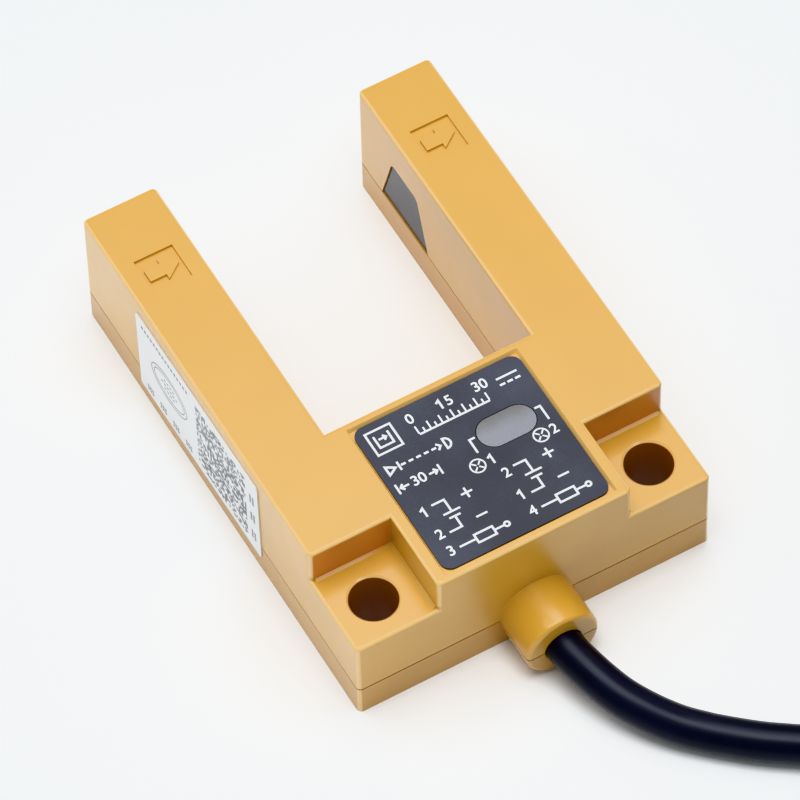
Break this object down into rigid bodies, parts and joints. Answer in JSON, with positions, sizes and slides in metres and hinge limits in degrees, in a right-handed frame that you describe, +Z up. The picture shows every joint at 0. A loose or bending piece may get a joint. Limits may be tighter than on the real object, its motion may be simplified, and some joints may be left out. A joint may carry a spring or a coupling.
{
  "type": "fork sensor",
  "caption": "U-shaped slot photoelectric sensor: a moulded fork case whose tines face each other across a sensing slot, with mounting ears, a label and a coiled cable.",
  "frame": {"origin": "midway between the two mounting holes, on the base plane", "axes": "+Y from the cable side towards the tine tips, +Z up out of the base plane along the mounting holes, X across the slot along the beam"},
  "size_m": [0.1351, 0.1351, 0.0239],
  "materials": {
    "case_plastic": "satin moulded, ochre gold",
    "label_plate": "fine-grained slate with white marks",
    "indicator_lens": "translucent grey",
    "beam_pane": "dark infrared-passing pane",
    "sticker_paper": "white paper with grey marks",
    "board_laminate": "green solder mask",
    "package_black": "black moulded epoxy",
    "clear_epoxy": "clear bluish epoxy",
    "smoke_epoxy": "dark daylight filter epoxy",
    "light_red": "red diffused epoxy",
    "light_green": "green diffused epoxy",
    "can_metal": "drawn aluminium",
    "screw_zinc": "zinc plated",
    "clamp_steel": "crimped steel",
    "cable_sheath": "black satin PVC",
    "core_red": "red PVC",
    "core_black": "black PVC",
    "core_yellow": "yellow PVC",
    "core_white": "white PVC",
    "tinned_wire": "tinned copper strands",
    "tie_strap": "plain nylon"
  },
  "bodies": {
    "root": {"upper_case": "case_plastic", "base_cover": "case_plastic", "front_label": "label_plate", "indicator_window": "indicator_lens", "emitter_window": "beam_pane", "receiver_window": "beam_pane", "side_sticker": "sticker_paper", "circuit_board": "board_laminate", "emitter_led": "clear_epoxy", "photodiode": "smoke_epoxy", "led_holder": "package_black", "power_led": "light_red", "switch_led": "light_green", "control_chip": "package_black", "voltage_regulator": "package_black", "npn_transistor": "package_black", "pnp_transistor": "package_black", "filter_capacitor": "can_metal", "protection_diode": "package_black", "chip_resistors": "package_black", "board_screws": "screw_zinc", "cover_screws": "screw_zinc", "cable_clamp": "clamp_steel", "core_red": "core_red", "core_black": "core_black", "core_yellow": "core_yellow", "core_white": "core_white", "cable": "cable_sheath", "cable_coil": "cable_sheath", "coil_ties": "tie_strap", "lead_red": "core_red", "lead_black": "core_black", "lead_yellow": "core_yellow", "lead_white": "core_white", "lead_tips": "tinned_wire"}
  },
  "joints": []
}
